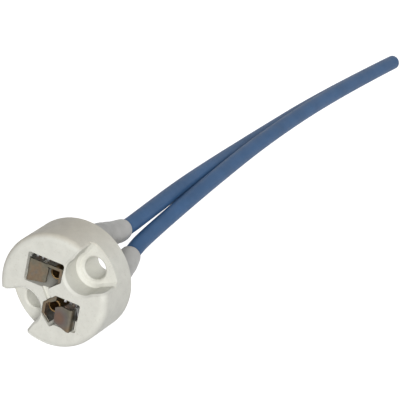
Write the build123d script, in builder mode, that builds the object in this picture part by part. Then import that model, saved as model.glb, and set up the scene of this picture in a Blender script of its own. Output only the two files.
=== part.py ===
from build123d import *
from math import cos, pi, radians, sin, tan
import os

# Ceramic lamp holder for bi-pin halogen lamps, with two silicone leads
# Origin: centre of the back face. +Z: towards the lamp. +Y: through the two screw holes.

# Ceramic body
body_diameter = 18.0
body_height = 8.5
front_edge_radius = 1.1
back_edge_chamfer = 0.3

# Screw holes, each at the bottom of a recess that opens through the rim
hole_rim_distance = 3.05
hole_diameter = 3.6
hole_edge_chamfer = 0.25
recess_ring = 1.1
recess_depth = 4.1
recess_mouth_width = 8.0
recess_floor_chamfer = 0.45
recess_edge_chamfer = 0.35

# Contact pockets, turned about the axis and set around the two lamp pins
pin_spacing = 5.334
pocket_turn = 46.0
pin_side_step = 0.3
pocket_length = 6.1
pocket_width = 4.75
pocket_floor_height = 2.4
pocket_corner_radius = 0.35
pin_to_pocket_end = 1.47
pin_to_pocket_side = 2.3
pocket_cut_along = 1.9
pocket_cut_across = 1.75
ledge_depth = 0.8
ledge_start = 4.0
ledge_side = -0.9
notch_start = -1.45
notch_tip = (0.23, -3.05)
notch_end = 0.95

# Slanting groove that joins the pockets across the face
groove_width = 0.95
groove_length = 2.4
groove_depth = 0.5
groove_turn = 34.0
groove_middle = (-0.72, -0.58)

# Rear cover, let into the back of the body
cover_length = 12.6
cover_width = 6.2
cover_thickness = 1.4
cover_clearance = 0.1
cover_edge_chamfer = 0.2

# Sheet metal contacts, each folded from one strip
sheet = 0.3
bend_radius = 0.25
contact_clearance = 0.08
leaf_positions = {"left": 4.1, "right": 3.6}
flange_drop = 0.1
flange_lifts = {"left": 0.0, "right": 0.55}
flange_tilts = {"left": 0.0, "right": 8.0}
flange_corners = {"left": (1.4, 1.0), "right": (2.0, 1.3)}
flange_tip = (0.95, 0.72)
flange_heel = (1.07, -1.68)
entry_radius = 0.95
lug_end = -0.93
near_leaf_low = -1.3
near_leaf_high = 0.5
bridge_starts = {"left": 0.95, "right": 0.45}
bridge_ends = {"left": (1.2, 0.95), "right": (0.6, 1.45)}
bridge_sides = {"left": 1.4, "right": 2.3}
wing_drop = 0.3
wing_start = 0.15
wing_stop = 0.55
tail_width = 1.3
tail_drop = 2.2
tail_spacing = 7.4
tail_slot_clearance = 0.15

# Brass eyelets that take the lamp pins
eyelet_bore = 1.64
eyelet_wall = 0.13
eyelet_rim_width = 0.06
eyelet_rim_thickness = 0.2
eyelet_drop = 1.2

# Comb springs: a foot, a back strip and a row of hooked fingers
finger_count = 3
finger_pitch = 0.92
finger_width = 0.38
first_finger = 1.7
spring_sheet = 0.15
spring_back_height = 1.3
spring_foot_width = 0.85
hook_length = 0.35
hook_drop = 1.0
finger_belly = 0.2

# Bow springs between the outer leaf and the end of the pocket
bow_sheet = 0.15
bow_low = -0.7
bow_high = 1.4
bow_play = 0.02
bow_shape = 0.2
bow_top_drop = 0.9

# Crimped joint below the cover, inside the sleeve
crimp_length = 3.4
crimp_start = 0.5
crimp_outer_diameter = 2.2
crimp_bore = 1.5
conductor_diameter = 1.1
conductor_gap = 0.1

# Leads and sleeves
lead_diameter = 2.6
lead_start = 4.6
sleeve_outer_diameter = 3.7
sleeve_wall = 0.5
sleeve_end_chamfer = 0.25
sleeve_lengths = {"left": 17.2, "right": 15.2}

# Routes of the leads, chosen by hand. The first run of each is straight down from its tail.
left_route = [
    (-tail_spacing / 2, 0, -lead_start),
    (-tail_spacing / 2, 0, -9.5),
    (-1.95, 0.3, -14.8),
    (-2.2, -0.35, -25),
    (-2.4, -2.1, -42),
    (-1.92, -4.65, -71),
    (-1.25, -6.3, -104),
    (0.6, -7.9, -135.6),
]
right_route = [
    (tail_spacing / 2, 0, -lead_start),
    (tail_spacing / 2, 0, -9.5),
    (1.8, 0.15, -15),
    (0.85, -0.15, -23.5),
    (-0.38, -0.22, -42),
    (-1.5, -1.8, -71),
    (-1.15, -3.58, -104),
    (0.35, -5.0, -131),
]

# Sizes that follow from the ones above
body_radius = body_diameter / 2
hole_place = body_radius - hole_rim_distance
recess_radius = hole_diameter / 2 + recess_ring
recess_floor_height = body_height - recess_depth
pocket_depth = body_height - pocket_floor_height
pocket_far_end = pocket_length - pin_to_pocket_end
pocket_low_side = pin_to_pocket_side - pocket_width
pin_offset = ((pin_spacing / 2) ** 2 - pin_side_step ** 2) ** 0.5
flange_height = body_height - flange_drop - sheet / 2
base_height = pocket_floor_height + sheet / 2
contact_high_side = pin_to_pocket_side - spring_foot_width - 2 * contact_clearance
eyelet_radius = eyelet_bore / 2 + eyelet_wall
eyelet_top = body_height - eyelet_drop
hole_places = [(0, hole_place), (0, -hole_place)]
tail_places = [(-tail_spacing / 2, 0), (tail_spacing / 2, 0)]
sides = {"left": -1, "right": 1}
ledge_corners = [
    (ledge_start, 2 * pocket_low_side),
    (2 * pocket_far_end, 2 * pocket_low_side),
    (2 * pocket_far_end, ledge_side),
    (ledge_start, ledge_side),
]

# Two sizes of an edge count as the same when they differ by less than this share
same_size = 0.001

# Directions along and across the pockets
pocket_x = Vector(cos(radians(pocket_turn)), sin(radians(pocket_turn)), 0)
pocket_y = Vector(-sin(radians(pocket_turn)), cos(radians(pocket_turn)), 0)
upwards = Vector(0, 0, 1)

os.makedirs("parts", exist_ok=True)


def turned_plane(height):
    """Plane parallel to the back face, with x along the contact pockets."""
    return Plane(origin=(0, 0, height), x_dir=pocket_x, z_dir=upwards)


def near_pin(side, along, across):
    """Point in a turned plane, measured from the lamp pin towards the pocket's far end."""
    return (side * (pin_side_step + along), across - side * pin_offset)


def pocket_point(side, along, across, height):
    """The same point in the holder's own frame."""
    x, y = near_pin(side, along, across)
    return pocket_x * x + pocket_y * y + upwards * height


def lengthwise_plane(side, across):
    """Upright plane: x runs from the pin along the pocket, y up, the normal to the low side of a right pocket."""
    return Plane(origin=pocket_point(side, 0, across, 0), x_dir=pocket_x * side, z_dir=pocket_y * -side)


def crosswise_plane(side, along):
    """Upright plane: x runs from the pin across the pocket and y up."""
    return Plane(origin=pocket_point(side, along, 0, 0), x_dir=pocket_y, z_dir=pocket_x)


def pocket_outline(side, clearance):
    """Outline of a pocket with its slanting corner, drawn smaller by a clearance. The right one has a notch."""
    left_corners = [
        (-pin_to_pocket_end, pin_to_pocket_side),
        (pocket_far_end, pin_to_pocket_side),
        (pocket_far_end, pocket_low_side),
        (-pin_to_pocket_end + pocket_cut_along, pocket_low_side),
        (-pin_to_pocket_end, pocket_low_side + pocket_cut_across),
    ]
    right_corners = [
        (-pin_to_pocket_end, notch_start),
        notch_tip,
        (notch_end, pocket_low_side),
        (pocket_far_end, pocket_low_side),
        (pocket_far_end, pin_to_pocket_side),
        (-pin_to_pocket_end + pocket_cut_along, pin_to_pocket_side),
        (-pin_to_pocket_end, pin_to_pocket_side - pocket_cut_across),
    ]
    corners = right_corners if side > 0 else left_corners
    with BuildSketch() as outline:
        with BuildLine():
            Polyline(*[near_pin(side, *corner) for corner in corners], close=True)
        make_face()
        fillet(outline.vertices(), pocket_corner_radius)
        offset(amount=-clearance)
    return outline.sketch


def pocket_area(side, corners):
    """Flat area inside a pocket, from its corners measured along and across from the pin."""
    with BuildSketch() as area:
        with BuildLine():
            Polyline(*[near_pin(side, *corner) for corner in corners], close=True)
        make_face()
    return area.sketch


def finish(piece, name):
    """Label a finished piece and write it."""
    piece.part.label = name
    export_step(piece.part, f"parts/{name}.step")


def make_recess(way):
    """Space cut for one screw head: round at the hole and flaring out through the rim."""
    reach = body_radius + recess_floor_chamfer
    flare = (recess_mouth_width / 2 - recess_radius) / hole_rim_distance
    outer_half = recess_radius + flare * (reach - hole_place)
    with BuildPart() as recess:
        with BuildSketch(Plane.XY.offset(recess_floor_height)):
            with Locations((0, way * hole_place)):
                Circle(recess_radius)
            with BuildLine():
                Polyline(
                    (-recess_radius, way * hole_place),
                    (-outer_half, way * reach),
                    (outer_half, way * reach),
                    (recess_radius, way * hole_place),
                    close=True,
                )
            make_face()
        extrude(amount=recess_depth + front_edge_radius)
        chamfer(recess.edges().group_by(Axis.Z)[0], recess_floor_chamfer)
    return recess.part


recesses = [make_recess(1), make_recess(-1)]

# Ceramic body: a rounded disc
with BuildPart() as body:
    with BuildSketch():
        Circle(body_radius)
    extrude(amount=body_height)
    fillet(body.edges().group_by(Axis.Z)[-1], front_edge_radius)
    chamfer(body.edges().group_by(Axis.Z)[0], back_edge_chamfer)
    # Recesses for the screw heads
    for recess in recesses:
        add(recess, mode=Mode.SUBTRACT)
    face_rim = body_radius - front_edge_radius
    recess_edges = [
        edge for edge in body.edges().filter_by_position(Axis.Z, body_height - front_edge_radius / 2, body_height)
        if edge.geom_type != GeomType.CIRCLE or edge.radius < face_rim * (1 - same_size)
    ]
    chamfer(recess_edges, recess_edge_chamfer)
    # Screw holes with chamfered rims
    with BuildSketch():
        with Locations(hole_places):
            Circle(hole_diameter / 2)
    extrude(amount=recess_floor_height, mode=Mode.SUBTRACT)
    hole_rims = [
        rim for rim in body.edges().filter_by(GeomType.CIRCLE)
        if abs(2 * rim.radius / hole_diameter - 1) < same_size
        and abs(rim.center().Z / recess_floor_height - 1) < same_size
    ]
    chamfer(hole_rims, hole_edge_chamfer)
    # Contact pockets, each with a ledge in one far corner
    for side in sides.values():
        with BuildSketch(turned_plane(body_height)):
            add(pocket_outline(side, 0))
        extrude(amount=-ledge_depth, mode=Mode.SUBTRACT)
        with BuildSketch(turned_plane(body_height - ledge_depth)):
            add(pocket_outline(side, 0))
            add(pocket_area(side, ledge_corners), mode=Mode.SUBTRACT)
        extrude(amount=ledge_depth - pocket_depth, mode=Mode.SUBTRACT)
    # Shallow groove between the pockets
    with BuildSketch(turned_plane(body_height)):
        with Locations(groove_middle):
            Rectangle(groove_width, groove_length, rotation=groove_turn)
    extrude(amount=-groove_depth, mode=Mode.SUBTRACT)
    # Seat of the rear cover
    with BuildSketch():
        SlotOverall(cover_length, cover_width)
    extrude(amount=cover_thickness, mode=Mode.SUBTRACT)
    # Slots that let the contact tails through the floor of the pockets
    with BuildSketch(Plane.XY.offset(cover_thickness)):
        with Locations(tail_places):
            Rectangle(tail_width + 2 * tail_slot_clearance, sheet + 2 * tail_slot_clearance,
                      rotation=pocket_turn)
    extrude(amount=pocket_floor_height - cover_thickness, mode=Mode.SUBTRACT)
finish(body, "ceramic_body")

# Rear cover with a hole for each tail
with BuildPart() as cover:
    with BuildSketch():
        SlotOverall(cover_length - 2 * cover_clearance, cover_width - 2 * cover_clearance)
        with Locations(tail_places):
            Circle(tail_width / 2 + 2 * tail_slot_clearance, mode=Mode.SUBTRACT)
    extrude(amount=cover_thickness)
    chamfer(cover.faces().sort_by(Axis.Z)[0].outer_wire().edges(), cover_edge_chamfer)
finish(cover, "rear_cover")


def make_contact(name, side):
    """Contact folded from one strip: lug, inner leaf, base, outer leaf and flange, with a bridge and a tail."""
    inner_leaf = -pin_to_pocket_end + contact_clearance + sheet / 2
    outer_leaf = leaf_positions[name] + sheet / 2
    low_side = pocket_low_side + contact_clearance
    flange_reach = outer_leaf - flange_tip[0]
    flange_edge_height = flange_height + flange_lifts[name]
    bend_height = flange_edge_height + flange_reach * tan(radians(flange_tilts[name]))
    lug_underside = flange_height - sheet / 2
    with BuildPart() as contact:
        # Folded strip
        with BuildSketch(lengthwise_plane(side, low_side)):
            with BuildLine():
                FilletPolyline(
                    (lug_end, flange_height),
                    (inner_leaf, flange_height),
                    (inner_leaf, base_height),
                    (outer_leaf, base_height),
                    (outer_leaf, bend_height),
                    (flange_tip[0], flange_edge_height),
                    radius=bend_radius,
                )
            trace(line_width=sheet)
        extrude(amount=-side * (contact_high_side - low_side))
        # Lug and bridge beside the pin entry
        with BuildSketch(turned_plane(lug_underside)):
            add(pocket_area(side, [
                (-pin_to_pocket_end, near_leaf_low),
                (lug_end, near_leaf_low),
                (lug_end, bridge_starts[name]),
                bridge_ends[name],
                (bridge_ends[name][0], bridge_sides[name]),
                (-pin_to_pocket_end, bridge_sides[name]),
            ]))
        extrude(amount=sheet)
        # Corners that follow the outline of the pocket
        with BuildSketch(turned_plane(pocket_floor_height)):
            add(pocket_outline(side, contact_clearance))
        extrude(amount=2 * pocket_depth, mode=Mode.INTERSECT)
        # Inner leaf made narrower than the base
        with BuildSketch(turned_plane(base_height + bend_radius)):
            add(pocket_area(side, [
                (-pin_to_pocket_end, 2 * pocket_low_side),
                (0, 2 * pocket_low_side),
                (0, near_leaf_low),
                (-pin_to_pocket_end, near_leaf_low),
            ]))
        extrude(amount=pocket_depth, mode=Mode.SUBTRACT)
        with BuildSketch(turned_plane(base_height + bend_radius)):
            add(pocket_area(side, [
                (-pin_to_pocket_end, near_leaf_high),
                (0, near_leaf_high),
                (0, pin_to_pocket_side),
                (-pin_to_pocket_end, pin_to_pocket_side),
            ]))
        extrude(amount=lug_underside - base_height - bend_radius, mode=Mode.SUBTRACT)
        # Outer leaf and base kept clear of the ledge
        with BuildSketch(turned_plane(pocket_floor_height)):
            add(pocket_area(side, [
                (ledge_start - contact_clearance, 2 * pocket_low_side),
                (2 * pocket_far_end, 2 * pocket_low_side),
                (2 * pocket_far_end, ledge_side + contact_clearance),
                (ledge_start - contact_clearance, ledge_side + contact_clearance),
            ]))
        extrude(amount=pocket_depth - ledge_depth + contact_clearance, mode=Mode.SUBTRACT)
        # Front flange trimmed to its slanting outline, on the pin's side of the bridge
        with BuildSketch(turned_plane(lug_underside)):
            add(pocket_area(side, [
                flange_corners[name],
                flange_tip,
                flange_heel,
                (outer_leaf, low_side),
                (outer_leaf, 2 * pocket_low_side),
                (lug_end, 2 * pocket_low_side),
                (lug_end, bridge_starts[name]),
                bridge_ends[name],
            ]))
            with Locations(near_pin(side, 0, 0)):
                Circle(entry_radius)
        extrude(amount=pocket_depth, mode=Mode.SUBTRACT)
        # Wing along the notch
        if side > 0:
            wall_start = Vector(-pin_to_pocket_end, notch_start)
            wall_way = (Vector(*notch_tip) - wall_start).normalized()
            wall_offset = Vector(-wall_way.Y, wall_way.X) * (contact_clearance + sheet / 2)
            wing_first = wall_start + wall_offset + wall_way * wing_start
            wing_last = Vector(*notch_tip) + wall_offset - wall_way * wing_stop
            with BuildSketch(turned_plane(pocket_floor_height)):
                with BuildLine():
                    Line(near_pin(side, wing_first.X, wing_first.Y), near_pin(side, wing_last.X, wing_last.Y))
                trace(line_width=sheet)
            extrude(amount=pocket_depth - wing_drop)
        # Tail through the floor of the pocket
        with BuildSketch(Plane.XY.offset(base_height)):
            with Locations((side * tail_spacing / 2, 0)):
                Rectangle(tail_width, sheet, rotation=pocket_turn)
        extrude(amount=-(base_height + tail_drop))
    finish(contact, f"{name}_contact")


def make_eyelet(name, side):
    """Tubular eyelet with a turned rim, standing on the base of the contact."""
    foot = pocket_floor_height + sheet
    with BuildPart() as eyelet:
        with BuildSketch(turned_plane(foot)):
            with Locations(near_pin(side, 0, 0)):
                Circle(eyelet_radius)
        extrude(amount=eyelet_top - foot)
        with BuildSketch(turned_plane(eyelet_top)):
            with Locations(near_pin(side, 0, 0)):
                Circle(eyelet_radius + eyelet_rim_width)
        extrude(amount=-eyelet_rim_thickness)
        with BuildSketch(turned_plane(foot)):
            with Locations(near_pin(side, 0, 0)):
                Circle(eyelet_bore / 2)
        extrude(amount=eyelet_top - foot, mode=Mode.SUBTRACT)
    finish(eyelet, f"{name}_eyelet")


def make_finger_spring(name, side):
    """Comb of spring fingers: a foot and a back strip, then fingers that lean in and hook over."""
    back = pin_to_pocket_side - contact_clearance
    front = back - spring_sheet
    middle = back - spring_sheet / 2
    foot = pocket_floor_height
    finger_root = foot + spring_back_height
    hook_height = body_height - hook_drop - spring_sheet / 2
    hook_end = contact_high_side + contact_clearance
    comb_length = (finger_count - 1) * finger_pitch + finger_width
    comb_start = first_finger - finger_width / 2
    with BuildPart() as comb:
        with BuildSketch(crosswise_plane(side, comb_start)):
            with BuildLine():
                Polyline(
                    (back - spring_foot_width, foot),
                    (back, foot),
                    (back, finger_root),
                    (front, finger_root),
                    (front, foot + spring_sheet),
                    (back - spring_foot_width, foot + spring_sheet),
                    close=True,
                )
            make_face()
        extrude(amount=side * comb_length)
        for finger in range(finger_count):
            with BuildSketch(crosswise_plane(side, comb_start + finger * finger_pitch)):
                with BuildLine():
                    Polyline(
                        (middle, finger_root - spring_sheet),
                        (hook_end + hook_length + finger_belly, (finger_root + hook_height) / 2),
                        (hook_end + hook_length, hook_height),
                        (hook_end, hook_height),
                    )
                trace(line_width=spring_sheet)
            extrude(amount=side * finger_width)
    finish(comb, f"{name}_finger_spring")


def make_bow_spring(name, side):
    """Bow-shaped strip that pushes the outer leaf away from the end of the pocket."""
    inner = leaf_positions[name] + sheet + bow_sheet / 2 + bow_play
    outer = pocket_far_end - bow_sheet / 2 - bow_play
    with BuildPart() as bow:
        with BuildSketch(turned_plane(pocket_floor_height)):
            with BuildLine():
                ThreePointArc(
                    near_pin(side, inner, bow_high),
                    near_pin(side, inner + (outer - inner) * bow_shape, (bow_low + bow_high) / 2),
                    near_pin(side, outer, bow_low),
                )
            trace(line_width=bow_sheet)
        extrude(amount=body_height - bow_top_drop - pocket_floor_height)
    finish(bow, f"{name}_bow_spring")


def make_crimp(name, side):
    """Crimp barrel round the tail and the conductor."""
    with BuildPart() as crimp:
        with BuildSketch(Plane.XY.offset(-crimp_start)):
            with Locations((side * tail_spacing / 2, 0)):
                Circle(crimp_outer_diameter / 2)
                Circle(crimp_bore / 2, mode=Mode.SUBTRACT)
        extrude(amount=-crimp_length)
    finish(crimp, f"{name}_crimp")


def make_conductor(name, side):
    """Bare end of the conductor, from the crimp to the end of the insulation."""
    with BuildPart() as conductor:
        with BuildSketch(Plane.XY.offset(-lead_start)):
            with Locations((side * tail_spacing / 2, 0)):
                Circle(conductor_diameter / 2)
        extrude(amount=lead_start - tail_drop - conductor_gap)
    finish(conductor, f"{name}_conductor")


def route_radii(route):
    """Arc radius at each inner point of a route: 0.45 of the shorter run over the tangent of half the turn."""
    radii = []
    points = [Vector(*point) for point in route]
    for before, corner, after in zip(points, points[1:], points[2:]):
        arriving = corner - before
        leaving = after - corner
        half_turn = radians(arriving.get_angle(leaving)) / 2
        radii.append(0.45 * min(arriving.length, leaving.length) / tan(half_turn))
    return radii


def make_lead(name, route):
    """Insulated lead: a round tube along straight runs and tangent arcs."""
    radii = route_radii(route)
    with BuildPart() as lead:
        with BuildLine() as path:
            FilletPolyline(*route, radius=radii)
        with BuildSketch(Plane(origin=route[0], z_dir=(0, 0, -1))):
            Circle(lead_diameter / 2)
        sweep()
    length = path.wires()[0].length
    expected = pi * lead_diameter ** 2 / 4 * length
    print(name, "length", round(length, 1), "radii", [round(radius, 1) for radius in radii],
          "volume", round(lead.part.volume, 1), "section times length", round(expected, 1))
    finish(lead, f"{name}_lead")


def make_sleeve(name, route):
    """Sleeve over the crimp and the start of the lead, along the lead's own first bends."""
    with BuildLine() as path:
        FilletPolyline((route[0][0], route[0][1], 0), *route[1:4], radius=route_radii(route)[:2])
    way = path.wires()[0]
    with BuildPart() as sleeve:
        with BuildSketch(Plane.XY):
            with Locations(route[0][:2]):
                Circle(sleeve_outer_diameter / 2)
                Circle(sleeve_outer_diameter / 2 - sleeve_wall, mode=Mode.SUBTRACT)
        sweep(path=way.trim(0, sleeve_lengths[name] / way.length))
        rim = sleeve.edges().sort_by(Axis.Z)[:2].sort_by(SortBy.RADIUS)[-1]
        chamfer(rim, sleeve_end_chamfer)
    finish(sleeve, f"{name}_sleeve")


for name, side in sides.items():
    make_contact(name, side)
    make_eyelet(name, side)
    make_finger_spring(name, side)
    make_bow_spring(name, side)
    make_crimp(name, side)
    make_conductor(name, side)

for name, route in {"left": left_route, "right": right_route}.items():
    make_lead(name, route)
    make_sleeve(name, route)
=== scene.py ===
import math

import bmesh
import bpy
from mathutils import Matrix, Vector, noise


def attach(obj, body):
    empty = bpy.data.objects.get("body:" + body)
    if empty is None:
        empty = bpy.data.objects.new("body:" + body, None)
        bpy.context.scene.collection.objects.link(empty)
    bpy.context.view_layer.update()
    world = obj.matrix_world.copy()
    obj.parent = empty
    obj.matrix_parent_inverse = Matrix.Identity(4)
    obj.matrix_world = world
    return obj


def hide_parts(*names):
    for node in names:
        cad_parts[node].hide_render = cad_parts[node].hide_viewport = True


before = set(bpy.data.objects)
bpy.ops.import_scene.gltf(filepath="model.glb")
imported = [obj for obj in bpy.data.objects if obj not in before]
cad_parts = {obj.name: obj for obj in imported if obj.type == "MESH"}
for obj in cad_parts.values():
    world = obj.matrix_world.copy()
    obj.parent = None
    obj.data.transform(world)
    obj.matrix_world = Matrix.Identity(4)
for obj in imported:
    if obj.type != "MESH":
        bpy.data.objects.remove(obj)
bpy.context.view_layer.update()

bl_info = {
    "name": "Ceramic lamp holder",
    "version": (1, 0, 0),
    "blender": (4, 5, 0),
    "location": "View3D > Sidebar > Lamp holder",
    "description": "Dresses a ceramic lamp holder with its contacts, sleeves and leads",
    "category": "Object",
}

# Lengths and places are in metres

# The side of the holder that each contact is on, along X
SIDES = {"left": -1, "right": 1}

# Routes of the leads, as in the part's source but with the bend below each joint as photographed
LEAD_ROUTES = {
    "left": [
        (-0.0037, 0.0, -0.0046),
        (-0.0037, 0.0, -0.0088),
        (-0.0017, -0.0003, -0.015),
        (-0.00206, -0.00048, -0.025),
        (-0.0024, -0.0021, -0.042),
        (-0.00192, -0.00465, -0.071),
        (-0.00125, -0.0063, -0.104),
        (0.0006, -0.0079, -0.1356),
    ],
    "right": [
        (0.0037, 0.0, -0.0046),
        (0.0037, 0.0, -0.0092),
        (0.00155, 0.0002, -0.0153),
        (0.00085, -0.00015, -0.0235),
        (-0.00038, -0.00022, -0.042),
        (-0.0015, -0.0018, -0.071),
        (-0.00115, -0.00358, -0.104),
        (0.00035, -0.005, -0.131),
    ],
}
CURVE_STEPS = 24
CURVE_BEVEL_STEPS = 10

# Length of each sleeve along its lead's line, from the mounting face
SLEEVE_LENGTHS = {"left": 0.0168, "right": 0.0147}
SLEEVE_RING_STEP = 0.0002
SLEEVE_SIDES = 48
LIP_STEPS = 6

# Shares of a sleeve's length from the mounting face, except the inner wall's, which is from the mouth
SHOULDER_START = 0.87
WRINKLES_CENTRE = 0.64
WRINKLES_SPREAD = 0.16
INNER_WALL_SHARE = 0.3

# Folds and lumps of a sleeve: how fast they change along and round it, with heights as shares of the
# wrinkle height
FOLDS_ALONG = 46.0
FOLD_SHIFT = 1.7
FOLD_SHIFT_ALONG = 3.0
FOLD_SHIFT_AROUND = 0.8
FOLD_BASE_HEIGHT = 0.35
LUMPS_ALONG = 7.0
LUMPS_AROUND = 1.2
LUMPS_BETWEEN_SIDES = 4.0
LUMP_HEIGHT = 0.45

# Cut strands at the end of each lead
STRAND_RADIUS = 0.0001
STRAND_TAPER = 0.8
STRAND_PROUD = 0.00004
STRAND_LENGTH = 4 * STRAND_PROUD
STRAND_SPACING = 2.05
STRAND_RING_TURN = 0.2
STRANDS_PER_RING = (1, 6, 12)
STRAND_SIDES = 12

# Where the finishes change on the ceramic and on the contacts, with painted shade on the ceramic's rim and
# painted light in the contacts' pockets
RIM_RADII = (0.0084, 0.0089)
RIM_SHADE_X = (0.0005, -0.0065)
# Heights below which the contacts take the lighter colour that is painted light in the pockets
CONTACT_FACE_HEIGHTS = (0.00795, 0.00825)
HEAT_SPOT = (0.0039, -0.0007, 0.0088)
HEAT_REACH = 0.0022

# Radii that the finishes give to sharp edges
CERAMIC_EDGE = 0.0001
CONTACT_EDGE = 0.00006
SMALL_METAL_EDGE = 0.00005

WHITE = (1.0, 1.0, 1.0)
BLACK = (0.0, 0.0, 0.0)
# Lighter contact colour below the face: painted light on the parts deep in the pockets
POCKET_CONTACT_PAINTED_LIGHT = (0.46, 0.455, 0.43)
PLATED_CRIMP = (0.6, 0.58, 0.52)
TINNED_CONDUCTOR = (0.7, 0.62, 0.52)
CUT_STRANDS = (0.72, 0.55, 0.42)

# Stage
FLOOR_HALF = 6.0
FLOOR_GLOW = 0.5
WORLD_LIGHT = 0.24
LAMPS = (
    {"name": "key", "place": (0.033, 0.392, 0.635), "size": 0.32, "power": 5.2},
    {"name": "back", "place": (0.16, -0.66, -0.12), "size": 0.40, "power": 1.6},
)

# Camera fitted to the photograph
CAMERA_PLACE = (-0.027966, 0.246463, 0.348415)
CAMERA_RIGHT = (0.47389, 0.75890, -0.44666)
CAMERA_UP = (-0.87834, 0.37115, -0.30128)
CAMERA_BACK = (-0.06286, 0.53509, 0.84245)
CAMERA_LENS = 255.1
CAMERA_SENSOR = 36.0
CAMERA_CLIP = (0.02, 20.0)

# Sockets of a colour mix node
MIX_SHARE, MIX_FIRST, MIX_SECOND, MIX_RESULT = 0, 6, 7, 2


# Settings

class HolderSizes(bpy.types.PropertyGroup):
    lead_diameter: bpy.props.FloatProperty(
        name="Lead diameter", description="Outer diameter of each silicone lead",
        default=0.0026, min=0.001, max=0.004, precision=5, unit="LENGTH")
    left_lead_length: bpy.props.FloatProperty(
        name="Left lead length", description="Length of the left lead from its joint to its cut end",
        default=0.1316, min=0.05, max=0.5, precision=4, unit="LENGTH")
    right_lead_length: bpy.props.FloatProperty(
        name="Right lead length", description="Length of the right lead from its joint to its cut end",
        default=0.1269, min=0.05, max=0.5, precision=4, unit="LENGTH")
    sleeve_diameter: bpy.props.FloatProperty(
        name="Sleeve diameter", description="Outer diameter of each sleeve at the holder",
        default=0.0037, min=0.003, max=0.005, precision=5, unit="LENGTH")
    sleeve_mouth: bpy.props.FloatProperty(
        name="Sleeve mouth", description="Outer diameter of each sleeve where the lead comes out",
        default=0.00304, min=0.0025, max=0.005, precision=5, unit="LENGTH")
    sleeve_wall: bpy.props.FloatProperty(
        name="Sleeve wall", description="Wall of each sleeve at its mouth",
        default=0.0002, min=0.0001, max=0.001, precision=5, unit="LENGTH")
    wrinkle_height: bpy.props.FloatProperty(
        name="Wrinkles", description="Depth of the wrinkles where a sleeve bends",
        default=0.00018, min=0.0, max=0.0005, precision=5, unit="LENGTH")
    floor_drop: bpy.props.FloatProperty(
        name="Floor drop", description="Distance from the mounting face down to the floor",
        default=0.3, min=0.15, max=2.0, unit="LENGTH")


class HolderColours(bpy.types.PropertyGroup):
    ceramic: bpy.props.FloatVectorProperty(
        name="Ceramic", description="Colour of the unglazed ceramic",
        default=(0.665, 0.66, 0.60), size=3, subtype="COLOR", min=0.0, max=1.0)
    contact: bpy.props.FloatVectorProperty(
        name="Contacts", description="Colour of the nickel silver contacts at the face of the holder",
        default=(0.182, 0.166, 0.126), size=3, subtype="COLOR", min=0.0, max=1.0)
    spring: bpy.props.FloatVectorProperty(
        name="Springs", description="Colour of the steel springs",
        default=(0.86, 0.87, 0.88), size=3, subtype="COLOR", min=0.0, max=1.0)
    brass: bpy.props.FloatVectorProperty(
        name="Eyelets", description="Colour of the brass eyelets",
        default=(0.33, 0.215, 0.095), size=3, subtype="COLOR", min=0.0, max=1.0)
    sleeve: bpy.props.FloatVectorProperty(
        name="Sleeves", description="Colour of the coated glass-fibre sleeves",
        default=(0.50, 0.495, 0.478), size=3, subtype="COLOR", min=0.0, max=1.0)
    lead: bpy.props.FloatVectorProperty(
        name="Leads", description="Colour of the silicone leads",
        default=(0.05, 0.123, 0.258), size=3, subtype="COLOR", min=0.0, max=1.0)
    floor: bpy.props.FloatVectorProperty(
        name="Floor", description="Colour of the floor",
        default=(0.93, 0.93, 0.93), size=3, subtype="COLOR", min=0.0, max=1.0)


# Node helpers

def start_material(name, colour, roughness, metallic=0.0):
    """New material with a shader that has these plain values."""
    material = bpy.data.materials.new(name)
    material.use_nodes = True
    material.diffuse_color = (*colour, 1.0)
    shader = material.node_tree.nodes["Principled BSDF"]
    shader.inputs["Base Color"].default_value = (*colour, 1.0)
    shader.inputs["Roughness"].default_value = roughness
    shader.inputs["Metallic"].default_value = metallic
    return material, material.node_tree, shader


def add_node(tree, kind, **values):
    node = tree.nodes.new(kind)
    for key, value in values.items():
        setattr(node, key, value)
    return node


def object_place(tree):
    """The object's own coordinates, in metres."""
    return add_node(tree, "ShaderNodeTexCoord").outputs["Object"]


def object_axis(tree, axis):
    """One of the object's own coordinates."""
    parts = add_node(tree, "ShaderNodeSeparateXYZ")
    tree.links.new(object_place(tree), parts.inputs["Vector"])
    return parts.outputs[axis]


def object_noise(tree, scale, detail=3.0, stretch=None):
    """Noise in the object's own metres, stretched along an axis where that is given."""
    place = object_place(tree)
    if stretch:
        mapping = add_node(tree, "ShaderNodeMapping")
        mapping.inputs["Scale"].default_value = stretch
        tree.links.new(place, mapping.inputs["Vector"])
        place = mapping.outputs["Vector"]
    texture = add_node(tree, "ShaderNodeTexNoise")
    texture.inputs["Scale"].default_value = scale
    texture.inputs["Detail"].default_value = detail
    tree.links.new(place, texture.inputs["Vector"])
    return texture.outputs["Fac"]


def ramp(tree, source, stops):
    """Colour ramp over a value; each stop is a place and a colour."""
    node = add_node(tree, "ShaderNodeValToRGB")
    elements = node.color_ramp.elements
    while len(elements) < len(stops):
        elements.new(0.5)
    for element, (place, colour) in zip(elements, stops):
        element.position = place
        element.color = (*colour, 1.0)
    tree.links.new(source, node.inputs["Fac"])
    return node.outputs["Color"]


def mixed(tree, first, second, share=None):
    """Two colours mixed by a share, or multiplied where no share is given."""
    node = add_node(tree, "ShaderNodeMix", data_type="RGBA")
    if share is None:
        node.blend_type = "MULTIPLY"
        node.inputs[MIX_SHARE].default_value = 1.0
    else:
        tree.links.new(share, node.inputs[MIX_SHARE])
    tree.links.new(first, node.inputs[MIX_FIRST])
    tree.links.new(second, node.inputs[MIX_SECOND])
    return node.outputs[MIX_RESULT]


def span(tree, source, low, high):
    """Value from 0 to 1 rescaled to a range."""
    node = add_node(tree, "ShaderNodeMapRange")
    node.inputs["To Min"].default_value = low
    node.inputs["To Max"].default_value = high
    tree.links.new(source, node.inputs["Value"])
    return node.outputs["Result"]


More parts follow.
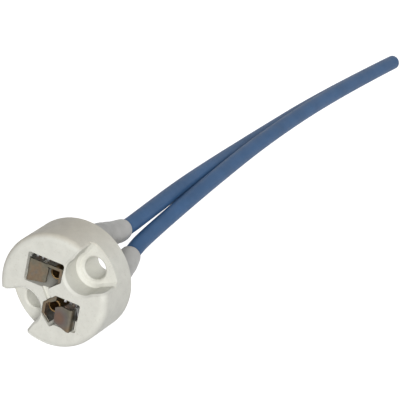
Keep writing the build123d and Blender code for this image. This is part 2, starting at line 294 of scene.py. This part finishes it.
def share_between(tree, source, start, end):
    """0 where a value hasn't reached the start of a range, 1 where it is past the end."""
    node = add_node(tree, "ShaderNodeMapRange")
    node.inputs["From Min"].default_value = start
    node.inputs["From Max"].default_value = end
    tree.links.new(source, node.inputs["Value"])
    return node.outputs["Result"]


def vary_roughness(tree, shader, scale, low, high):
    """Roughness that varies over the surface."""
    tree.links.new(span(tree, object_noise(tree, scale), low, high), shader.inputs["Roughness"])


def add_bump(tree, shader, source, distance, strength, under=None):
    """Bump of a height in metres, over an earlier normal where there is one."""
    node = add_node(tree, "ShaderNodeBump")
    node.inputs["Distance"].default_value = distance
    node.inputs["Strength"].default_value = strength
    tree.links.new(source, node.inputs["Height"])
    if under is not None:
        tree.links.new(under, node.inputs["Normal"])
    tree.links.new(node.outputs["Normal"], shader.inputs["Normal"])
    return node.outputs["Normal"]


def rounded_normal(tree, radius):
    """Normal of an edge that is slightly rounded."""
    node = add_node(tree, "ShaderNodeBevel", samples=6)
    node.inputs["Radius"].default_value = radius
    return node.outputs["Normal"]


def scaled(colour, factor):
    return tuple(min(1.0, channel * factor) for channel in colour)


def grey(level):
    return (level, level, level)


def painted_rim_shade(tree):
    """How far the surface belongs to the rim on the left contact's side, which is painted darker and warmer
    as shade.
    """
    across = add_node(tree, "ShaderNodeVectorMath", operation="MULTIPLY")
    across.inputs[1].default_value = (1.0, 1.0, 0.0)
    tree.links.new(object_place(tree), across.inputs[0])
    radius = add_node(tree, "ShaderNodeVectorMath", operation="LENGTH")
    tree.links.new(across.outputs["Vector"], radius.inputs[0])
    both = add_node(tree, "ShaderNodeMath", operation="MULTIPLY")
    tree.links.new(share_between(tree, object_axis(tree, "X"), *RIM_SHADE_X), both.inputs[0])
    tree.links.new(share_between(tree, radius.outputs["Value"], *RIM_RADII), both.inputs[1])
    return both.outputs[0]


def heat_distance(tree):
    """0 at the heat spot on the right contact's flange, 1 out of its reach."""
    gap = add_node(tree, "ShaderNodeVectorMath", operation="DISTANCE")
    gap.inputs[1].default_value = HEAT_SPOT
    tree.links.new(object_place(tree), gap.inputs[0])
    return share_between(tree, gap.outputs["Value"], 0.0, HEAT_REACH)


# Finishes

def steatite(name, colour):
    """Unglazed pressed ceramic: chalky, faintly mottled and fine-grained, with painted shade on part of its
    rim.
    """
    material, tree, shader = start_material(name, colour, roughness=0.5)
    cloud = ramp(tree, object_noise(tree, scale=700.0, detail=4.0), [
        (0.35, scaled(colour, 0.95)), (0.65, scaled(colour, 1.02))])
    speck = ramp(tree, object_noise(tree, scale=3600.0, detail=2.0), [
        (0.26, (0.9, 0.89, 0.87)), (0.4, WHITE)])
    # Painted shade: the rim towards -X is darker and warmer, as the side facing away from the lamp
    rim_shade = ramp(tree, painted_rim_shade(tree), [(0.0, WHITE), (1.0, (0.90, 0.855, 0.80))])
    tree.links.new(mixed(tree, mixed(tree, cloud, speck), rim_shade), shader.inputs["Base Color"])
    vary_roughness(tree, shader, scale=900.0, low=0.42, high=0.6)
    edge = rounded_normal(tree, CERAMIC_EDGE)
    waves = add_bump(tree, shader, object_noise(tree, scale=320.0, detail=1.0),
                     distance=0.00012, strength=0.5, under=edge)
    add_bump(tree, shader, object_noise(tree, scale=3800.0), distance=0.00003, strength=0.8, under=waves)
    return material


def nickel_silver(name, colour):
    """Contact strip with rolling lines and a patchy tint, darker at the holder's face and lighter below it,
    where the lighter colour is painted light on the parts deep in the pockets.
    """
    material, tree, shader = start_material(name, colour, roughness=0.4, metallic=1.0)
    red, green, blue = POCKET_CONTACT_PAINTED_LIGHT
    tint = ramp(tree, object_noise(tree, scale=420.0, detail=2.0), [
        (0.3, scaled(POCKET_CONTACT_PAINTED_LIGHT, 0.8)),
        (0.48, POCKET_CONTACT_PAINTED_LIGHT),
        (0.62, (red * 1.18, green * 0.96, blue * 0.85)),
        (0.75, (red * 0.95, green, blue * 1.2)),
    ])
    rolling = (1.0, 1.0, 0.06)
    lines = ramp(tree, object_noise(tree, scale=2500.0, stretch=rolling), [(0.3, grey(0.82)), (0.7, WHITE)])
    face_over_pocket = tuple(dull / clean for dull, clean in zip(colour, POCKET_CONTACT_PAINTED_LIGHT))
    # Painted light: the strip is lighter below the face heights than at the face
    painted_pocket_light = ramp(tree, share_between(tree, object_axis(tree, "Z"), *CONTACT_FACE_HEIGHTS), [
        (0.0, WHITE), (1.0, face_over_pocket)])
    strip = mixed(tree, mixed(tree, tint, lines), painted_pocket_light)
    distance = heat_distance(tree)
    heat = ramp(tree, distance, [
        (0.0, (0.185, 0.105, 0.075)), (0.35, (0.155, 0.1, 0.08)), (0.65, (0.13, 0.115, 0.12))])
    heated = ramp(tree, distance, [(0.45, grey(0.85)), (1.0, BLACK)])
    tree.links.new(mixed(tree, strip, heat, share=heated), shader.inputs["Base Color"])
    vary_roughness(tree, shader, scale=1400.0, low=0.36, high=0.56)
    add_bump(tree, shader, object_noise(tree, scale=2500.0, detail=2.0, stretch=rolling),
             distance=0.000008, strength=0.5, under=rounded_normal(tree, CONTACT_EDGE))
    return material


def bright_steel(name, colour):
    """Springy steel strip, bright on the bends."""
    material, tree, shader = start_material(name, colour, roughness=0.22, metallic=1.0)
    tone = ramp(tree, object_noise(tree, scale=1600.0), [(0.3, scaled(colour, 0.85)), (0.7, colour)])
    tree.links.new(tone, shader.inputs["Base Color"])
    vary_roughness(tree, shader, scale=2600.0, low=0.24, high=0.42)
    add_bump(tree, shader, object_noise(tree, scale=6000.0),
             distance=0.000004, strength=0.5, under=rounded_normal(tree, SMALL_METAL_EDGE))
    return material


def drawn_brass(name, colour):
    """Drawn brass with faint drawing lines and darker patches."""
    material, tree, shader = start_material(name, colour, roughness=0.3, metallic=1.0)
    tone = ramp(tree, object_noise(tree, scale=900.0, stretch=(1.0, 1.0, 0.2)), [
        (0.3, scaled(colour, 0.7)), (0.6, colour)])
    tree.links.new(tone, shader.inputs["Base Color"])
    vary_roughness(tree, shader, scale=2200.0, low=0.32, high=0.5)
    add_bump(tree, shader, object_noise(tree, scale=5000.0, detail=2.0, stretch=(1.0, 1.0, 0.1)),
             distance=0.000005, strength=0.4, under=rounded_normal(tree, SMALL_METAL_EDGE))
    return material


def coated_fibre(name, colour):
    """Silicone coated glass-fibre sleeve: soft, cloudy, with a faint braid under the coat."""
    material, tree, shader = start_material(name, colour, roughness=0.42)
    shader.inputs["Subsurface Weight"].default_value = 0.12
    shader.inputs["Subsurface Radius"].default_value = (1.0, 0.9, 0.9)
    shader.inputs["Subsurface Scale"].default_value = 0.0005
    cloud = ramp(tree, object_noise(tree, scale=520.0), [
        (0.3, scaled(colour, 0.9)), (0.7, scaled(colour, 1.05))])
    tree.links.new(cloud, shader.inputs["Base Color"])
    vary_roughness(tree, shader, scale=1500.0, low=0.34, high=0.55)
    braid = object_noise(tree, scale=2600.0, detail=1.0, stretch=(1.0, 1.0, 0.5))
    add_bump(tree, shader, braid, distance=0.00002, strength=0.5)
    return material


def silicone(name, colour):
    """Coloured silicone insulation, matte with faint marks."""
    material, tree, shader = start_material(name, colour, roughness=0.5)
    shader.inputs["Specular IOR Level"].default_value = 0.15
    tone = ramp(tree, object_noise(tree, scale=180.0), [
        (0.3, scaled(colour, 0.88)), (0.7, scaled(colour, 1.08))])
    tree.links.new(tone, shader.inputs["Base Color"])
    vary_roughness(tree, shader, scale=700.0, low=0.42, high=0.6)
    add_bump(tree, shader, object_noise(tree, scale=1500.0, detail=2.0), distance=0.00002, strength=0.35)
    return material


def tinned_strand(name, colour):
    """Tinned copper, dull with brighter streaks."""
    material, tree, shader = start_material(name, colour, roughness=0.35, metallic=1.0)
    tone = ramp(tree, object_noise(tree, scale=3000.0, detail=2.0, stretch=(1.0, 1.0, 0.1)), [
        (0.3, scaled(colour, 0.75)), (0.7, colour)])
    tree.links.new(tone, shader.inputs["Base Color"])
    add_bump(tree, shader, object_noise(tree, scale=4000.0, detail=1.0, stretch=(1.0, 1.0, 0.15)),
             distance=0.00001, strength=0.5)
    return material


# Mesh helpers

def new_piece(name, mesh_or_curve, material):
    """Object for a piece that belongs to the holder."""
    piece = bpy.data.objects.new(name, mesh_or_curve)
    bpy.context.scene.collection.objects.link(piece)
    mesh_or_curve.materials.append(material)
    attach(piece, "root")
    return piece


def dress(node, material):
    """Gives a carried-over piece its finish."""
    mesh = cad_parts[node].data
    mesh.materials.clear()
    mesh.materials.append(material)


def route_curve(name, route, radius):
    """Smooth curve with a route's points as its control points."""
    curve = bpy.data.curves.new(name, "CURVE")
    curve.dimensions = "3D"
    curve.resolution_u = CURVE_STEPS
    curve.bevel_depth = radius
    curve.bevel_resolution = CURVE_BEVEL_STEPS
    curve.use_fill_caps = radius > 0
    spline = curve.splines.new("NURBS")
    spline.points.add(len(route) - 1)
    for point, place in zip(spline.points, route):
        point.co = (*place, 1.0)
    spline.order_u = 3
    spline.use_endpoint_u = True
    return curve


def route_points(name, route):
    """Points along a route's smooth line."""
    line = bpy.data.objects.new(f"{name}_line", route_curve(f"{name}_line", route, 0.0))
    mesh = bpy.data.meshes.new_from_object(line)
    points = [vertex.co.copy() for vertex in mesh.vertices]
    curve = line.data
    bpy.data.objects.remove(line)
    bpy.data.curves.remove(curve)
    bpy.data.meshes.remove(mesh)
    return points


def resample(points, step):
    """Points an even step apart along a line, with both of its ends."""
    lengths = [0.0]
    for before, after in zip(points, points[1:]):
        lengths.append(lengths[-1] + (after - before).length)
    count = max(2, round(lengths[-1] / step))
    places = []
    index = 0
    for number in range(count + 1):
        wanted = lengths[-1] * number / count
        while index < len(points) - 2 and lengths[index + 1] < wanted:
            index += 1
        share = (wanted - lengths[index]) / max(lengths[index + 1] - lengths[index], 1e-9)
        places.append(points[index].lerp(points[index + 1], min(1.0, share)))
    return places


def shortened(points, length):
    """The points of a line up to a length from its start."""
    kept = [points[0]]
    travelled = 0.0
    for before, after in zip(points, points[1:]):
        travelled += (after - before).length
        if travelled > length:
            break
        kept.append(after)
    return kept


def frames_along(points):
    """A point, a direction and two sideways directions at each place of a line, without twist."""
    side = Vector((0.0, 1.0, 0.0))
    result = []
    for index, point in enumerate(points):
        before = points[max(0, index - 1)]
        after = points[min(len(points) - 1, index + 1)]
        direction = (after - before).normalized()
        side = (side - direction * side.dot(direction)).normalized()
        result.append((point, direction, side, direction.cross(side)))
    return result


def skin(name, rings):
    """Smooth mesh over rings of points, each joined to the next."""
    mesh = bpy.data.meshes.new(name)
    work = bmesh.new()
    rows = [[work.verts.new(point) for point in ring] for ring in rings]
    for first, second in zip(rows, rows[1:]):
        for index in range(len(first)):
            after = (index + 1) % len(first)
            work.faces.new((first[index], first[after], second[after], second[index]))
    bmesh.ops.recalc_face_normals(work, faces=work.faces)
    work.to_mesh(mesh)
    work.free()
    for polygon in mesh.polygons:
        polygon.use_smooth = True
    return mesh


def sleeve_dent(sizes, way, share, outward):
    """Depth of a sleeve's wrinkles and lumps at a share of its length, as a height of 0 or less."""
    bend = math.exp(-((share - WRINKLES_CENTRE) / WRINKLES_SPREAD) ** 2)
    inside_of_bend = max(0.0, outward.dot(Vector((-way, 0.0, 0.0))))
    shift_place = outward * FOLD_SHIFT_AROUND + Vector((way, 0.0, share * FOLD_SHIFT_ALONG))
    fold = math.sin(share * FOLDS_ALONG + FOLD_SHIFT * noise.noise(shift_place))
    lump = noise.noise(Vector((outward.x * LUMPS_AROUND + way * LUMPS_BETWEEN_SIDES,
                               outward.y * LUMPS_AROUND, share * LUMPS_ALONG)))
    height = bend * fold * (FOLD_BASE_HEIGHT + inside_of_bend) + LUMP_HEIGHT * lump
    return min(sizes.wrinkle_height * height, 0.0)


def sleeve_lip(ring, centre, direction, thickness):
    """Rings of a rounded lip that turns over from a sleeve's last outer ring to its inner wall."""
    half = thickness / 2
    rings = []
    for step in range(1, LIP_STEPS):
        turn_over = math.pi * step / LIP_STEPS
        lip_ring = []
        for place in ring:
            outward = (place - centre).normalized()
            reach = (place - centre).length - half + half * math.cos(turn_over)
            lip_ring.append(centre + outward * reach + direction * half * math.sin(turn_over))
        rings.append(lip_ring)
    return rings


def sleeve_mesh(name, line, sizes, way):
    """Tube with wrinkles at its bend, a drawn-in mouth and an inner wall."""
    frames = frames_along(line)
    outer = []
    inner = []
    for index, (point, direction, side, other) in enumerate(frames):
        share = index / (len(line) - 1)
        shoulder = min(1.0, max(0.0, (share - SHOULDER_START) / (1.0 - SHOULDER_START)))
        drawn_in = 1.0 - math.sqrt(1.0 - shoulder ** 2)
        radius = sizes.sleeve_diameter / 2 - (sizes.sleeve_diameter - sizes.sleeve_mouth) / 2 * drawn_in
        ring = []
        inner_ring = []
        for turn in range(SLEEVE_SIDES):
            angle = 2 * math.pi * turn / SLEEVE_SIDES
            outward = side * math.cos(angle) + other * math.sin(angle)
            ring.append(point + outward * (radius + sleeve_dent(sizes, way, share, outward)))
            inner_ring.append(point + outward * (radius - sizes.sleeve_wall))
        outer.append(ring)
        inner.append(inner_ring)
    centre, direction = frames[-1][:2]
    lip = sleeve_lip(outer[-1], centre, direction, sizes.sleeve_wall)
    depth = round(len(inner) * INNER_WALL_SHARE)
    return skin(name, outer + lip + inner[:-depth - 1:-1])


def strand_mesh(name, end, direction):
    """Cut strands: a centre one and two rings round it, slightly proud of the cut."""
    across = direction.orthogonal().normalized()
    other = direction.cross(across)
    turned = direction.to_track_quat("Z", "Y").to_matrix().to_4x4()
    work = bmesh.new()
    for ring, count in enumerate(STRANDS_PER_RING):
        for number in range(count):
            angle = 2 * math.pi * number / count + STRAND_RING_TURN * ring
            outward = across * math.cos(angle) + other * math.sin(angle)
            centre = end + outward * STRAND_RADIUS * STRAND_SPACING * ring
            place = Matrix.Translation(centre - direction * STRAND_PROUD) @ turned
            bmesh.ops.create_cone(work, cap_ends=True, segments=STRAND_SIDES, radius1=STRAND_RADIUS,
                                  radius2=STRAND_RADIUS * STRAND_TAPER, depth=STRAND_LENGTH, matrix=place)
    mesh = bpy.data.meshes.new(name)
    work.to_mesh(mesh)
    work.free()
    return mesh


# Operators

class HOLDER_OT_ceramic(bpy.types.Operator):
    """Finishes the ceramic body and its rear cover"""
    bl_idname = "holder.ceramic"
    bl_label = "Ceramic"

    def execute(self, context):
        colour = context.scene.holder_colours.ceramic
        dress("ceramic_body", steatite("steatite_body", colour))
        dress("rear_cover", steatite("steatite_cover", scaled(colour, 0.96)))
        return {"FINISHED"}


class HOLDER_OT_contacts(bpy.types.Operator):
    """Finishes the contacts, the eyelets and the springs in the pockets"""
    bl_idname = "holder.contacts"
    bl_label = "Contacts"

    def execute(self, context):
        colours = context.scene.holder_colours
        strip = nickel_silver("nickel_silver_strip", colours.contact)
        spring = bright_steel("spring_steel_strip", colours.spring)
        brass = drawn_brass("drawn_brass_eyelet", colours.brass)
        for side in SIDES:
            dress(f"{side}_contact", strip)
            dress(f"{side}_eyelet", brass)
            dress(f"{side}_finger_spring", spring)
            dress(f"{side}_bow_spring", spring)
        return {"FINISHED"}


class HOLDER_OT_joints(bpy.types.Operator):
    """Finishes the crimps and the bare conductors inside the sleeves"""
    bl_idname = "holder.joints"
    bl_label = "Crimped joints"

    def execute(self, context):
        crimp = bright_steel("plated_crimp", PLATED_CRIMP)
        strand = tinned_strand("tinned_conductor", TINNED_CONDUCTOR)
        for side in SIDES:
            dress(f"{side}_crimp", crimp)
            dress(f"{side}_conductor", strand)
        return {"FINISHED"}


class HOLDER_OT_sleeves(bpy.types.Operator):
    """Makes the wrinkled sleeves over the joints"""
    bl_idname = "holder.sleeves"
    bl_label = "Sleeves"

    def execute(self, context):
        sizes = context.scene.holder_sizes
        material = coated_fibre("coated_glass_fibre", context.scene.holder_colours.sleeve)
        for side, way in SIDES.items():
            route = LEAD_ROUTES[side]
            at_mounting_face = Vector((route[0][0], 0.0, 0.0))
            line = resample([at_mounting_face, *route_points(side, route)], SLEEVE_RING_STEP)
            line = shortened(line, SLEEVE_LENGTHS[side])
            mesh = sleeve_mesh(f"{side}_sleeve_skin", line, sizes, way)
            piece = new_piece(f"{side}_sleeve_skin", mesh, material)
            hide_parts(f"{side}_sleeve")
        return {"FINISHED"}


class HOLDER_OT_leads(bpy.types.Operator):
    """Lays the two silicone leads and the strands at their cut ends"""
    bl_idname = "holder.leads"
    bl_label = "Leads"

    def execute(self, context):
        sizes = context.scene.holder_sizes
        material = silicone("blue_silicone", context.scene.holder_colours.lead)
        strand = tinned_strand("cut_strands", CUT_STRANDS)
        for side in SIDES:
            route = LEAD_ROUTES[side]
            curve = route_curve(f"{side}_lead_cord", route, sizes.lead_diameter / 2)
            lead = new_piece(f"{side}_lead_cord", curve, material)
            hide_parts(f"{side}_lead")
            end = Vector(route[-1])
            direction = (end - Vector(route[-2])).normalized()
            mesh = strand_mesh(f"{side}_lead_strands", end, direction)
            strands = new_piece(f"{side}_lead_strands", mesh, strand)
            getattr(sizes, f"{side}_lead_length")
        return {"FINISHED"}


class HOLDER_OT_stage(bpy.types.Operator):
    """Makes the floor, the lamps, the surroundings and the camera"""
    bl_idname = "holder.stage"
    bl_label = "Stage"

    def execute(self, context):
        make_floor(context)
        make_surroundings(context)
        make_lamps(context)
        make_camera(context)
        return {"FINISHED"}


# Stage

def make_floor(context):
    """Wide pale floor that shows nearly white and keeps a soft shadow."""
    height = -context.scene.holder_sizes.floor_drop
    corners = [(x * FLOOR_HALF, y * FLOOR_HALF, height) for x, y in ((-1, -1), (1, -1), (1, 1), (-1, 1))]
    mesh = bpy.data.meshes.new("floor")
    mesh.from_pydata(corners, [], [(0, 1, 2, 3)])
    floor = bpy.data.objects.new("floor", mesh)
    context.scene.collection.objects.link(floor)
    material, tree, shader = start_material("pale_floor", context.scene.holder_colours.floor, roughness=0.9)
    shader.inputs["Specular IOR Level"].default_value = 0.1
    glow = add_node(tree, "ShaderNodeEmission")
    glow.inputs["Color"].default_value = (*WHITE, 1.0)
    strength = add_node(tree, "ShaderNodeMath", operation="MULTIPLY")
    strength.inputs[1].default_value = FLOOR_GLOW
    tree.links.new(seen_directly(tree), strength.inputs[0])
    tree.links.new(strength.outputs[0], glow.inputs["Strength"])
    total = add_node(tree, "ShaderNodeAddShader")
    tree.links.new(shader.outputs["BSDF"], total.inputs[0])
    tree.links.new(glow.outputs["Emission"], total.inputs[1])
    tree.links.new(total.outputs["Shader"], tree.nodes["Material Output"].inputs["Surface"])
    mesh.materials.append(material)


def seen_directly(tree):
    """1 for rays from the camera and for mirrored or transmitted ones."""
    path = add_node(tree, "ShaderNodeLightPath")
    first = add_node(tree, "ShaderNodeMath", operation="MAXIMUM")
    tree.links.new(path.outputs["Is Camera Ray"], first.inputs[0])
    tree.links.new(path.outputs["Is Glossy Ray"], first.inputs[1])
    second = add_node(tree, "ShaderNodeMath", operation="MAXIMUM")
    tree.links.new(first.outputs[0], second.inputs[0])
    tree.links.new(path.outputs["Is Transmission Ray"], second.inputs[1])
    return second.outputs[0]


def make_surroundings(context):
    """White surroundings for the eye, at a lower level as a light."""
    world = bpy.data.worlds.new("studio")
    world.use_nodes = True
    context.scene.world = world
    tree = world.node_tree
    background = tree.nodes["Background"]
    background.inputs["Color"].default_value = (*WHITE, 1.0)
    tree.links.new(span(tree, seen_directly(tree), WORLD_LIGHT, 1.0), background.inputs["Strength"])


def make_lamps(context):
    """A soft key lamp from the camera's side and a weaker one from behind, both aimed at the holder."""
    for values in LAMPS:
        light = bpy.data.lights.new(values["name"], "AREA")
        light.shape = "DISK"
        light.size = values["size"]
        light.energy = values["power"]
        lamp = bpy.data.objects.new(values["name"], light)
        lamp.location = values["place"]
        lamp.rotation_mode = "QUATERNION"
        lamp.rotation_quaternion = (-Vector(values["place"])).to_track_quat("-Z", "Y")
        context.scene.collection.objects.link(lamp)


def make_camera(context):
    """Camera that looks at the holder's lamp side, turned so that the leads run to the upper right."""
    data = bpy.data.cameras.new("camera")
    data.sensor_width = CAMERA_SENSOR
    data.lens = CAMERA_LENS
    data.clip_start, data.clip_end = CAMERA_CLIP
    camera = bpy.data.objects.new("camera", data)
    turn = Matrix((CAMERA_RIGHT, CAMERA_UP, CAMERA_BACK)).transposed().to_4x4()
    camera.matrix_world = Matrix.Translation(CAMERA_PLACE) @ turn
    context.scene.collection.objects.link(camera)
    context.scene.camera = camera


# Panel and registration

class HOLDER_PT_panel(bpy.types.Panel):
    """Lists the holder's settings and steps"""
    bl_idname = "HOLDER_PT_panel"
    bl_label = "Lamp holder"
    bl_space_type = "VIEW_3D"
    bl_region_type = "UI"
    bl_category = "Lamp holder"

    def draw(self, context):
        for group in (context.scene.holder_sizes, context.scene.holder_colours):
            for key in group.bl_rna.properties.keys():
                if key not in ("rna_type", "name"):
                    self.layout.prop(group, key)
        for operator in OPERATORS:
            self.layout.operator(operator.bl_idname)


OPERATORS = (HOLDER_OT_ceramic, HOLDER_OT_contacts, HOLDER_OT_joints, HOLDER_OT_sleeves, HOLDER_OT_leads,
             HOLDER_OT_stage)
CLASSES = (HolderSizes, HolderColours, *OPERATORS, HOLDER_PT_panel)


def register():
    for item in CLASSES:
        bpy.utils.register_class(item)
    bpy.types.Scene.holder_sizes = bpy.props.PointerProperty(type=HolderSizes)
    bpy.types.Scene.holder_colours = bpy.props.PointerProperty(type=HolderColours)


def unregister():
    del bpy.types.Scene.holder_colours
    del bpy.types.Scene.holder_sizes
    for item in reversed(CLASSES):
        bpy.utils.unregister_class(item)


def main():
    register()
    bpy.context.scene.view_settings.view_transform = "Standard"
    bpy.ops.holder.ceramic()
    bpy.ops.holder.contacts()
    bpy.ops.holder.joints()
    bpy.ops.holder.sleeves()
    bpy.ops.holder.leads()
    bpy.ops.holder.stage()


if __name__ == "__main__":
    main()
